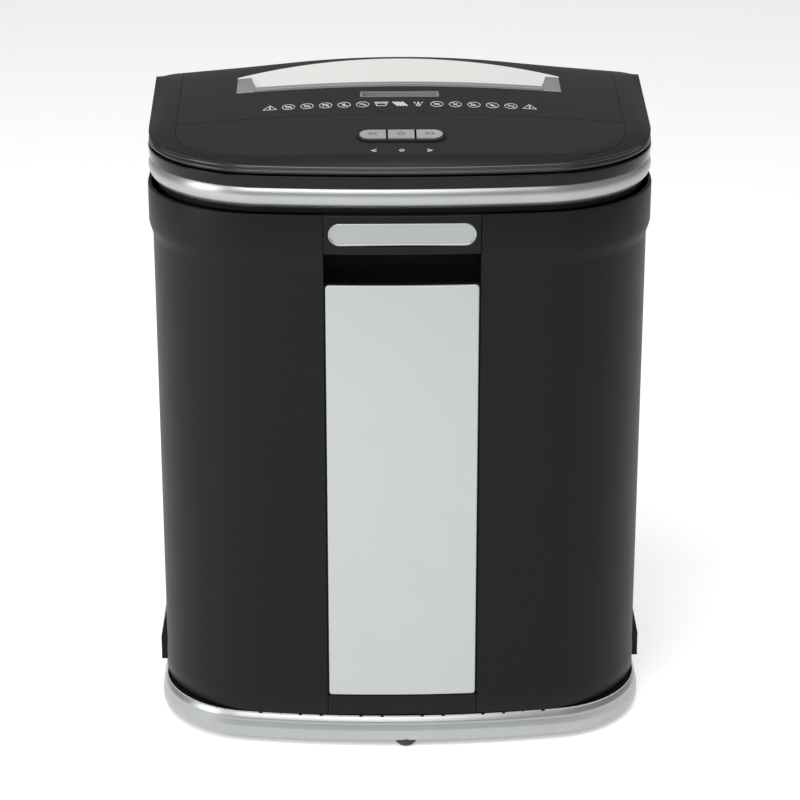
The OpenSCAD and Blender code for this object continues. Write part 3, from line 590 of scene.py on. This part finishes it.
def silver_panel():
    """Curved silver panel with rounded corners and an eased edge."""
    half = (PANEL_HIGH.x - PANEL_LOW.x) / 2
    corner = 2.6
    bends = [corner * (1 - math.cos(math.radians(a))) for a in (90, 70, 50, 35, 20)]

    def section(drop, inside):
        gone = max(0.0, corner - inside)
        cut = corner - math.sqrt(max(0.0, corner ** 2 - gone ** 2))
        low, high = PANEL_LOW.z + cut, PANEL_HIGH.z - cut
        face, back = STEP_FRONT + drop, STEP_FRONT + 2.4
        return rounded([(back, low, 0), (face, low, 0.9), (face, high, 1.1), (back, high, 0)])
    obj = strip_piece("silver_front_panel", half, section, dense=bends)
    piece(obj, "bin", "silver_paint", "silver_panel", PANEL_SILVER)


def rear_cabinet():
    """Back half of the cabinet with its collar, ribbed skirt feet, vents and cut-outs."""
    low, high = REAR_LOW.z, REAR_HIGH.z
    split = COLLAR.place_at_y(SPLIT_Y + 0.4)
    end = COLLAR.marks[-1]

    def section(_, out):
        return shell_section(out, low, high)
    halves = []
    for sign in (-1, 1):
        start, stop = sorted((sign * split, sign * end))
        halves.append(sweep("rear", COLLAR, COLLAR.places(start, stop), section))
    body = joined("rear_cabinet_moulding", halves)
    for tool in back_cuts():
        carve(body, tool)
    piece(body, "cabinet", "black_shell", "rear_cabinet")
    for sign, side in ((-1, "left"), (1, "right")):
        piece(skirt(side, sign), "cabinet", "black_shell")


def back_cuts():
    """Tools for the vents, the mains gland's hole and the rocker's window in the back wall."""
    y0, y1 = REAR_HIGH.y - 12, REAR_HIGH.y + 4
    vents, pitch, vent_x = 14, 9, -70
    vent_z = REAR_HIGH.z - COLLAR_H - 29
    for i in range(vents):
        x = (i - (vents - 1) / 2) * pitch + vent_x
        yield brick("vent", (x - 2.2, y0, vent_z - 17), (x + 2.2, y1, vent_z + 17))
    low, high = cad("mains_gland")
    hole = circle(6, (low.x + high.x) / 2, (low.z + high.z) / 2)[:-1]
    yield skin("hole", [[(x, y, z) for x, z in hole] for y in (y0, y1)])
    low, high = cad("rocker_frame")
    yield brick("switch", (low.x + 2, y0, low.z + 2), (high.x - 2, y1, high.z - 2))


def skirt(side, sign):
    """Flared foot of a side wall, its lower part ribbed."""
    wall_x, edge_x = COLLAR.half - STEP_SIDE, REAR_HIGH.x
    recess_x = edge_x - 0.7
    low, high = SHELL_LOW.z, RING_HIGH.z + 48
    knee = RING_HIGH.z + 20                     # top of the ribbed part
    y0, y1 = SPLIT_Y + 0.6, REAR_HIGH.y - 57
    shape = [(wall_x - 2, low), (edge_x, low), (edge_x, low + 3), (recess_x, low + 3.6), (recess_x, knee),
             (edge_x, knee + 0.7), (edge_x - 0.3, knee + 2), (wall_x, high), (wall_x - 2, high)]
    parts = [skin("foot", [[(sign * x, y, z) for x, z in shape] for y in (y0, y1)])]
    count = 20
    x0, x1 = sorted((sign * wall_x, sign * edge_x))
    for i in range(count):
        y = y0 + 1.5 + (y1 - y0 - 4.5) * i / (count - 1)
        parts.append(brick("rib", (x0, y, low + 2), (x1, y + 1.6, knee + 0.3)))
    return joined(side + "_skirt_foot", parts)


def bulge(inset, height, radius, start, stop, steps=8):
    """Round stretch of a section, facing up by start to stop degrees; at 0 it is at (inset, height)."""
    points = []
    for i in range(steps + 1):
        a = math.radians(start + (stop - start) * i / steps)
        points.append((inset + radius * (1 - math.cos(a)), height + radius * math.sin(a)))
    return points


def base_ring():
    """Silver ring: a soft bead along the top, a sloping waist under it, and an upright lower face."""
    low, high = RING_LOW.z, RING_HIGH.z
    bead_r, bead_low, bead_top = 22.0, 26, 42
    bead_z = high - 0.07 - bead_r * math.sin(math.radians(bead_top))
    bead_inset = 1.6 - bead_r * (1 - math.cos(math.radians(bead_low)))
    foot = [(4.0, low), (1.2, low), (0.4, low + 0.4), (0.0, low + 1.4)]
    waist = [(0.0, high - 12.2), (0.15, high - 11.4), (1.3, high - 7.4), (1.5, high - 6.6)]
    section = foot + waist
    section += bulge(bead_inset, bead_z, bead_r, bead_low, bead_top) + [(4.0, high - 0.07)]
    obj = sweep("base_ring_band", RING, RING.places()[:-1], section, closed=True)
    piece(obj, "cabinet", "silver_paint", "base_ring")


# ---- Head ----------------------------------------------------------------------------

def trim_band():
    """Silver band with a full round face that curls under towards the collar."""
    low, high = BAND_LOW.z, BAND_HIGH.z
    under, over = -64, 35
    radius = (high - low) / (math.sin(math.radians(over)) - math.sin(math.radians(under)))
    face = bulge(-0.9, low - radius * math.sin(math.radians(under)), radius, under, over, steps=16)
    section = [(9.0, low), *face, (9.0, high)]
    obj = sweep("silver_band", HEAD, HEAD.places()[:-1], section, closed=True)
    piece(obj, "cabinet", "silver_paint", "silver_trim_band")


def gloss_bezel():
    """Gloss black band with a fine lip along its top, and the two beads of the cover's edge over it."""
    low, high = BEZEL_LOW.z, BEZEL_HIGH.z
    bottom, top = low + 0.05, high - 0.1
    front, back = -0.75, 5.0
    face = [(0.1, bottom, 0.5), (front, high - 2.2, 0.8), (front, high - 0.4, 0.6), (0.4, top, 0.3)]
    section = rounded([(back, bottom, 0), *face, (2.4, top, 0), (back, top, 0)])
    obj = sweep("gloss_band", HEAD, HEAD.places()[:-1], section, closed=True)
    piece(obj, "cabinet", "gloss_black", "gloss_bezel")
    lip = sweep("cover_lip", HEAD, HEAD.places()[:-1], lip_section, closed=True)
    piece(lip, "cabinet", "gloss_black", material=LIP_GLOSS)


def lip_section(place, _):
    """Two round beads: a large one along the cover's edge, sunk into it at the sides, and a small one."""
    y = HEAD.at(place)[0][1]
    edge = rim_height(y) + 1.3 - 3.6 * ease((y + 105) / 60)
    foot = LIP_Z - 1.5
    small = bulge(-0.3, foot, 1.1, -50, 60, steps=5)
    large = bulge(0.5, edge, 1.5, -40, 75, steps=6)
    return [(2.8, foot - 1.0), *small, (0.7, foot + 1.2), (1.2, edge - 1.2), *large, (2.8, edge + 1.45)]


def centre_height(y):
    """Height of the cover along its middle: up to the ridge, and down behind it."""
    front = LIP_Z + SHOULDER + (y - FRONT_Y) * SLOPE
    back = RIDGE_HIGH.z - (y - RIDGE_Y) * 0.468
    soft = 3.0
    near = max(0.0, soft - abs(front - back)) / soft
    return min(front, back, RIDGE_HIGH.z) - near * near * soft / 4


def crown(x, y):
    """Height of the cover: a low crown that turns into an arch between straight flanks at the ridge."""
    flat = 42.0
    x = abs(x)
    arch = 0.1 * x * x / (4 * flat) if x < 2 * flat else 0.1 * (x - flat)
    low_crown = 2.7e-4 * x * x
    if y <= RIDGE_Y:
        share = max(0.0, (y - FRONT_Y) / (RIDGE_Y - FRONT_Y)) ** 4
        fall = low_crown + (arch - low_crown) * share
    else:
        fall = arch * max(0.0, 1 - (y - RIDGE_Y) / 62)
    inner = centre_height(y) - fall
    rim = rim_height(y)
    q = min(1.0, max(0.0, HEAD.depth(x, y) / SHOULDER_W))
    return rim + (inner - rim) * (1 - (1 - q) ** 2)


def rim_height(y):
    """Height of the cover's outer edge, which climbs along the sides to the ridge."""
    rise, start, behind = 22.0, -75.0, 56.0
    if y <= RIDGE_Y:
        return LIP_Z + rise * max(0.0, (y - start) / (RIDGE_Y - start))
    return LIP_Z + rise * max(0.0, 1 - (y - RIDGE_Y) / behind)


def over_cover(lift):
    """Height above the cover, as a function of x and y."""
    def height(x, y):
        return crown(x, y) + lift
    return height


def cover_blank():
    """The whole cover as one shell, before its panels are cut out."""
    places = HEAD.places()[:-1]
    insets = (0.35, 1.0, 2.0, 3.5, 5.5, 8.0, 11.0, 14.0, 17.0)
    foot = LIP_Z - 3.4
    inner = [(t, None, WALL) for t in reversed(insets) if t > WALL]
    edge = [(WALL, foot, 0), (1.0, foot, 0), (0.0, None, 0.35)]
    section = [*inner, *edge, *[(t, None, 0.0) for t in insets]]
    points = [cover_point(place, *step) for place in places for step in section]
    width = len(section)
    faces = []
    for i in range(len(places)):
        here, there = i * width, (i + 1) % len(places) * width
        faces += [(here + j, here + j + 1, there + j + 1, there + j) for j in range(width - 1)]
    for drop, column in ((0.0, width - 1), (WALL, 0)):
        numbers = {place: i * width + column for i, place in enumerate(places)}
        cover_sheet(numbers, insets[-1], drop, points, faces)
    return build("cover", points, faces)


def cover_point(place, inset, z=None, drop=0.0):
    """Point that far inside the cover's outline, at that height or that far under the crown."""
    (x, y), out = HEAD.at(place)
    x, y = x - inset * out[0], y - inset * out[1]
    return (x, y, crown(x, y) - drop if z is None else z)


def cover_sheet(numbers, inset, drop, points, faces):
    """Adds the sheet inside the cover's shoulder, row by row, to the edge points with those numbers."""
    corner_end = HEAD.marks[3]
    rows = [p for p in numbers if 0 <= p <= corner_end + 1e-3]
    back = sorted((p for p in numbers if abs(p) >= corner_end - 1e-3), key=lambda p: HEAD.at(p)[0][0])
    fractions = [HEAD.at(p)[0][0] / HEAD.at(rows[-1])[0][0] for p in back]
    last = None
    for place in rows:
        if place == rows[0]:
            line = [numbers[place]] * len(back)
        elif place == rows[-1]:
            line = [numbers[p] for p in back]
        else:
            x, y, _ = cover_point(place, inset)
            start = len(points)
            points += [(f * x, y, crown(f * x, y) - drop) for f in fractions[1:-1]]
            line = [numbers[-place], *range(start, start + len(back) - 2), numbers[place]]
        if last:
            for j in range(len(back) - 1):
                corners = (last[j], last[j + 1], line[j + 1], line[j])
                faces.append(tuple(dict.fromkeys(corners)))
        last = line


def control_outline(grow):
    """Plan of the control panel, grown by that much."""
    edge = CONTROL.place_at_y(SEAM_Y)
    outline = []
    for place in CONTROL.places(-edge, edge):
        (x, y), out = CONTROL.at(place)
        outline.append((x + grow * out[0], y + grow * out[1]))
    outline[0] = (outline[0][0], SEAM_Y + grow)
    outline[-1] = (outline[-1][0], SEAM_Y + grow)
    return outline


def throat_outline(grow):
    """Plan of the throat panel, grown by that much."""
    x, y0, y1 = THROAT_HALF + grow, SEAM_Y + 0.3 - grow, RIDGE_Y + grow
    return [(-x, y0), (x, y0), (x, y1), (-x, y1)]


def arch_at(x):
    """Back edge of the paper mouth at that width."""
    rise = MOUTH_TOP - MOUTH_SIDE
    radius = (MOUTH_HALF ** 2 + rise ** 2) / (2 * rise)
    return MOUTH_TOP - radius + math.sqrt(radius ** 2 - x * x)


def mouth_outline():
    """Plan of the paper mouth: straight front and ends, arched back."""
    steps = 28
    widths = [MOUTH_HALF * (1 - 2 * i / steps) for i in range(steps + 1)]
    return [(-MOUTH_HALF, MOUTH_FRONT), (MOUTH_HALF, MOUTH_FRONT), *[(x, arch_at(x)) for x in widths]]


def covers():
    """Frame of the cover, its throat panel and its control panel."""
    def cutter(outline):
        return prism("cut", outline, COVER_LOW.z - 35, COVER_HIGH.z + 40)
    frame_part = cover_blank()
    panel = carve(copy_of(frame_part, "control_cover"), cutter(control_outline(-SEAM_GAP)), "INTERSECT")
    throat_part = carve(copy_of(frame_part, "throat_cover"), cutter(throat_outline(-SEAM_GAP)), "INTERSECT")
    carve(frame_part, cutter(control_outline(CUT_GAP)))
    carve(frame_part, cutter(throat_outline(CUT_GAP)))
    frame_part.name = "cover_frame"
    carve(throat_part, cutter(mouth_outline()))
    x0, x1, y0, y1 = CARD_LOW.x, CARD_HIGH.x, CARD_LOW.y, CARD_HIGH.y
    carve(throat_part, cutter([(x0, y0), (x1, y0), (x1, y1), (x0, y1)]))
    pill_y = (PILL_LOW.y + PILL_HIGH.y) / 2
    width, depth = PILL_HIGH.x - PILL_LOW.x, PILL_HIGH.y - PILL_LOW.y
    carve(panel, cutter(pill_outline(width, depth, 0, pill_y)))
    piece(frame_part, "cabinet", "head_cover", "top_cover")
    piece(throat_part, "cabinet", "head_cover", "throat_panel")
    piece(panel, "cabinet", "head_cover", "control_panel")


def throat():
    """Grey bar in front of the paper slot, between two blocks whose inner corners are cut back."""
    depth = 9.0
    ear_x = cad("front_cutter_discs")[1].x + 1.5
    outer = MOUTH_HALF - FIT_GAP
    front, side = MOUTH_FRONT + 0.1, MOUTH_SIDE - 2
    columns = 40
    rings = []
    for i in range(columns + 1):
        x = -ear_x + 2 * ear_x * i / columns
        top = crown(x, SLOT_FRONT) + 2.0
        outline = rounded([(front, top - depth, 0), (front, top - 0.5, 0.9), (SLOT_FRONT, top, 0.9),
                           (SLOT_FRONT, top - depth, 0)])
        rings.append([(x, y, z) for y, z in outline])
    parts = [skin("bar", rings)]
    for sign in (-1, 1):
        corners = [(outer, front), (outer, side), (outer - 11, side), (ear_x + 1.5, 17.0), (ear_x, 13.0),
                   (ear_x, front)]
        outline = [(sign * x, y) for x, y in corners[::sign]]
        parts.append(bevelled(prism("ear", outline, over_cover(-depth), over_cover(0.6)), 0.6))
    piece(joined("throat_bar", parts), "cabinet", "grey_plastic", "throat_frame")


def guide():
    """Pale tray behind the paper slot that rises to its arched back edge."""
    y0 = SLOT_FRONT + 6.0
    low = crown(0, y0) - 6.5
    high = crown(0, MOUTH_TOP) - 0.4
    rows, columns, thick = 12, 48, 1.8
    half = MOUTH_HALF - FIT_GAP

    def top(x, y):
        q = (y - y0) / (MOUTH_TOP - y0)
        return low + (high - low) * q - (x / MOUTH_HALF) ** 2 * 2.4
    rings = []
    for i in range(columns + 1):
        x = half * (2 * i / columns - 1)
        back = arch_at(x) - FIT_GAP
        ys = [y0 + (back - y0) * k / rows for k in range(rows + 1)]
        rings.append([(x, y, top(x, y)) for y in ys] + [(x, y, top(x, y) - thick) for y in reversed(ys)])
    piece(skin("paper_tray", rings), "cabinet", "guide_plastic", "paper_guide")


def windows():
    """Two small dark lenses in the throat panel."""
    low, high = cad("indicator_windows")
    y = (low.y + high.y) / 2
    spread = 16.0
    width = high.x - low.x - 2 * spread
    for sign, side in ((-1, "left"), (1, "right")):
        outline = pill_outline(width, high.y - low.y, sign * spread, y)
        lens = prism(side + "_lens", outline, over_cover(-1.5), over_cover(0.3))
        replaced = ["indicator_windows"] if sign < 0 else []
        piece(bevelled(lens, 0.25), "cabinet", "window_tint", replaced, material=FINISHES["gloss_black"])


def card_slot():
    """Card slot with a ribbed slope in front of it."""
    x0, x1 = CARD_LOW.x + FIT_GAP, CARD_HIGH.x - FIT_GAP
    y0, y1 = CARD_LOW.y + FIT_GAP, CARD_HIGH.y - FIT_GAP
    slot_y, depth = -11.0, 14
    z = crown(0, slot_y)

    def across(name, outline, left, right):
        return skin(name, [[(x, y, z + h) for y, h in outline] for x in (left, right)])
    parts = [brick("back", (x0, slot_y + 2.3, z - depth), (x1, y1, z - 0.1))]
    for sign in (-1, 1):
        left, right = sorted((sign * x1, sign * (x1 - 2)))
        parts.append(brick("cheek", (left, y0, z - depth), (right, slot_y + 2.4, z - 0.9)))
    slope = [(y0, -1.2), (y0 + 1.2, -1.2), (slot_y, -7.0), (slot_y, -depth), (y0, -depth)]
    parts.append(across("slope", slope, x0 + 1.9, x1 - 1.9))
    count = 30
    rib = [(y0 + 1.2, -1.1), (slot_y, -6.4), (slot_y, -7.2), (y0 + 1.2, -1.6)]
    for i in range(count):
        middle = x0 + 3.0 + (x1 - x0 - 6.0) * i / (count - 1)
        parts.append(across("rib", rib, middle - 0.35, middle + 0.35))
    piece(joined("card_slot_chute", parts), "cabinet", "grey_plastic", "card_chute")


# ---- Printed marks -------------------------------------------------------------------

def stroke(points, width, closed=False):
    """Outline quads of a line of that width through 2-D points."""
    quads = []
    ends = points[1:] + (points[:1] if closed else [])
    for (ax, ay), (bx, by) in zip(points, ends):
        length = math.hypot(bx - ax, by - ay) or 1.0
        ux, uy = (bx - ax) / length * width / 2, (by - ay) / length * width / 2
        quads.append([(ax - ux - uy, ay - uy + ux), (bx + ux - uy, by + uy + ux),
                      (bx + ux + uy, by + uy - ux), (ax - ux + uy, ay - uy - ux)])
    return quads


def circle(radius, x=0.0, y=0.0, start=0.0, stop=360.0, count=24):
    """Points of a circle or an arc, its two ends included."""
    turns = [math.radians(start + (stop - start) * i / count) for i in range(count + 1)]
    return [(x + radius * math.cos(a), y + radius * math.sin(a)) for a in turns]


def mark_mesh(name, quads, surface, lift=0.12):
    """Thin raised solids over a surface, one for each quad."""
    sunk = 0.25
    points, faces = [], []
    for quad in quads:
        start = len(points)
        points += [(x, y, surface(x, y) + h) for h in (lift, -sunk) for x, y in quad]
        faces += [(start, start + 1, start + 2, start + 3), (start + 7, start + 6, start + 5, start + 4)]
        faces += [(start + i, start + 4 + i, start + 4 + (i + 1) % 4, start + (i + 1) % 4) for i in range(4)]
    return build(name, points, faces)


def moved(quads, x, y):
    """The quads shifted by (x, y)."""
    return [[(x + u, y + v) for u, v in quad] for quad in quads]


def sign_shapes():
    """The row of generic pictograms: warning triangles, barred circles, a bin, sheets and a drop."""
    line = 0.55
    barred = stroke(circle(4.8), line) + stroke([(-3.2, 3.2), (3.2, -3.2)], line)
    triangle = stroke([(-5.2, -3.4), (5.2, -3.4), (0, 4.4)], line, closed=True)
    triangle += stroke([(0, 1.8), (0, -0.8)], 0.9) + stroke([(0, -1.7), (0, -2.4)], 0.9)
    inner = [
        stroke([(-2, -1.6), (2, -1.6), (2, 1.2), (-2, 1.2)], 0.5, closed=True),
        stroke(circle(1.9, count=12), 0.5),
        stroke([(-1.8, -2.2), (-1.8, 1.6), (1.8, 1.6), (1.8, -2.2)], 0.6),
        stroke([(0, 2.6), (0, -1.4)], 0.8) + stroke([(-1.5, -0.6), (0, -2.4), (1.5, -0.6)], 0.6),
        stroke([(-2.4, -0.8), (0, 1.2), (2.4, -0.4)], 0.5),
        stroke([(-2, 1.0), (2, 1.0)], 0.5) + stroke([(-2, -1.0), (2, -1.0)], 0.5),
        stroke([(-1.6, 1.8), (1.6, -1.8)], 0.6) + stroke([(-1.6, -1.8), (1.6, 1.8)], 0.6),
        stroke([(-2.2, 0.9), (0.4, 0.9), (0.4, -1.6), (-2.2, -1.6)], 0.5, closed=True),
        stroke([(0, 2.2), (0, -2.2)], 0.6) + stroke([(-1.8, 0), (1.8, 0)], 0.5),
        stroke([(-2.4, 0), (2.4, 0)], 0.7),
    ]
    signs = [barred + shape for shape in inner]
    bin_mark = stroke([(-3.4, -3.0), (3.4, -3.0), (4.4, 1.6), (-4.4, 1.6)], 0.7, closed=True)
    bin_mark += stroke([(-5.0, 3.4), (5.0, 3.4)], 1.0)
    sheets = [q for i in range(4) for q in stroke([(-5.0 + i * 2.3, 3.2), (-1.6 + i * 2.3, -3.0)], 1.5)]
    drop = stroke([(0, 3.6), (0, 0.2)], 1.0) + stroke(circle(1.5, 0, -2.0, count=12), 1.0)
    drop += stroke([(-3.4, 3.4), (-2.2, 1.4)], 0.8) + stroke([(3.4, 3.4), (2.2, 1.4)], 0.8)
    return [triangle, *signs[:5], bin_mark, sheets, drop, *signs[5:], triangle]


def marks():
    """Row of pictograms in front of the card slot, and two arrowheads and a ring in front of the buttons."""
    row, pitch, row_y = sign_shapes(), 14.4, -33.6
    quads = []
    for i, shape in enumerate(row):
        quads += moved(shape, (i - (len(row) - 1) / 2) * pitch, row_y)
    piece(mark_mesh("guide_marks", quads, crown), "cabinet", "guide_plastic", material=MARK_WHITE)
    button_pitch, mark_y, line = 21, -117.6, 0.8
    quads = moved(stroke([(1.6, 1.8), (-1.6, 0), (1.6, -1.8)], line), -button_pitch, mark_y)
    quads += moved(stroke(circle(1.6, count=12), line), 0, mark_y)
    quads += moved(stroke([(-1.6, 1.8), (1.6, 0), (-1.6, -1.8)], line), button_pitch, mark_y)
    piece(mark_mesh("button_marks", quads, crown), "cabinet", "guide_plastic", material=MARK_WHITE)


# ---- Buttons -------------------------------------------------------------------------

def chevron(x, way):
    """Arrowhead with its blunt side at x, pointing left (-1) or right (1)."""
    return stroke([(x, 2.0), (x + way * 2.8, 0), (x, -2.0)], 0.8)


def key_symbol(name, shape):
    """Dark symbol on the sloping face of a button's CAD cap."""
    low, high = cad(name + "_button")
    middle_x = (low.x + high.x) / 2
    middle_y = (low.y + high.y) / 2 + 0.4
    face = high.z - (high.y - middle_y) * SLOPE

    def surface(_, y):
        return face + (y - middle_y) * SLOPE
    mark = mark_mesh(name + "_symbol", moved(shape, middle_x, middle_y), surface, lift=0.1)
    piece(mark, name + "_key", "button_silver", material=MARK_DARK)


def buttons():
    """Symbols of the three buttons."""
    key_symbol("reverse", chevron(-0.6, -1) + chevron(3.2, -1))
    open_ring = stroke(circle(2.4, start=-230, stop=50, count=18), 0.7)
    key_symbol("power", open_ring + stroke([(0, 3.2), (0, 0.4)], 0.7))
    key_symbol("forward", chevron(0.6, 1) + chevron(-3.2, 1))


# ---- Put together --------------------------------------------------------------------

def paint_frame():
    """Gives every CAD node the procedural finish of its material slot."""
    for entry in frame["record"]["subparts"]:
        mesh = frame["nodes"][entry["node"]].data
        mesh.materials.clear()
        mesh.materials.append(FINISHES[entry["material_slot"]])


def floor():
    """Pale floor that glows a little, so that it stays white behind the object."""
    reach = 6.0
    mesh = bpy.data.meshes.new("floor")
    mesh.from_pydata([(-reach, -reach, 0), (reach, -reach, 0), (reach, reach, 0), (-reach, reach, 0)], [],
                     [(0, 1, 2, 3)])
    pale = finish("pale_floor", (0.9, 0.9, 0.9), 0.8, specular=0.1, mottle=0.01)
    shader = pale.node_tree.nodes["Principled BSDF"]
    shader.inputs["Emission Color"].default_value = (1, 1, 1, 1)
    shader.inputs["Emission Strength"].default_value = 0.38
    mesh.materials.append(pale)
    obj = bpy.data.objects.new("floor", mesh)
    bpy.context.scene.collection.objects.link(obj)


def world():
    """Even, dim white surroundings."""
    around = bpy.data.worlds.new("studio")
    around.use_nodes = True
    background = around.node_tree.nodes["Background"]
    background.inputs["Color"].default_value = (1.0, 1.0, 1.0, 1)
    background.inputs["Strength"].default_value = 0.34
    bpy.context.scene.world = around


def aimed(name, data, place, target):
    """Light or camera at a place, in metres, that looks at a target."""
    obj = bpy.data.objects.new(name, data)
    obj.location = place
    obj.rotation_euler = (Vector(target) - obj.location).to_track_quat("-Z", "Y").to_euler()
    bpy.context.scene.collection.objects.link(obj)
    return obj


def softbox(name, place, size, power):
    """Rectangular soft light aimed at the object."""
    light = bpy.data.lights.new(name, "AREA")
    light.shape = "RECTANGLE"
    light.size, light.size_y = size
    light.energy = power
    aimed(name, light, place, (0, 0, 0.3))


def camera():
    """Long lens that looks down on the front, nearly straight on."""
    aim = Vector((0.64, -5.0, 247.5)) * MM
    turn, rise, away = math.radians(1.04), math.radians(21.25), 2.2
    toward = Vector((-math.sin(turn) * math.cos(rise), -math.cos(turn) * math.cos(rise), math.sin(rise)))
    lens = bpy.data.cameras.new("camera")
    lens.lens = 120.6
    lens.sensor_width = 36
    bpy.context.scene.camera = aimed("camera", lens, aim + away * toward, aim)
    bpy.context.scene.view_settings.view_transform = "Standard"


paint_frame()
bin_front()
collar_centre()
badge()
carrier()
silver_panel()
rear_cabinet()
base_ring()
trim_band()
gloss_bezel()
covers()
throat()
guide()
windows()
card_slot()
marks()
buttons()
floor()
world()
softbox("top_light", (0.0, -0.9, 2.8), (2.4, 1.5), 45)
softbox("front_light", (-0.5, -2.2, 2.1), (2.2, 1.5), 34)
softbox("left_light", (-2.2, -1.0, 1.0), (1.2, 1.5), 24)
camera()
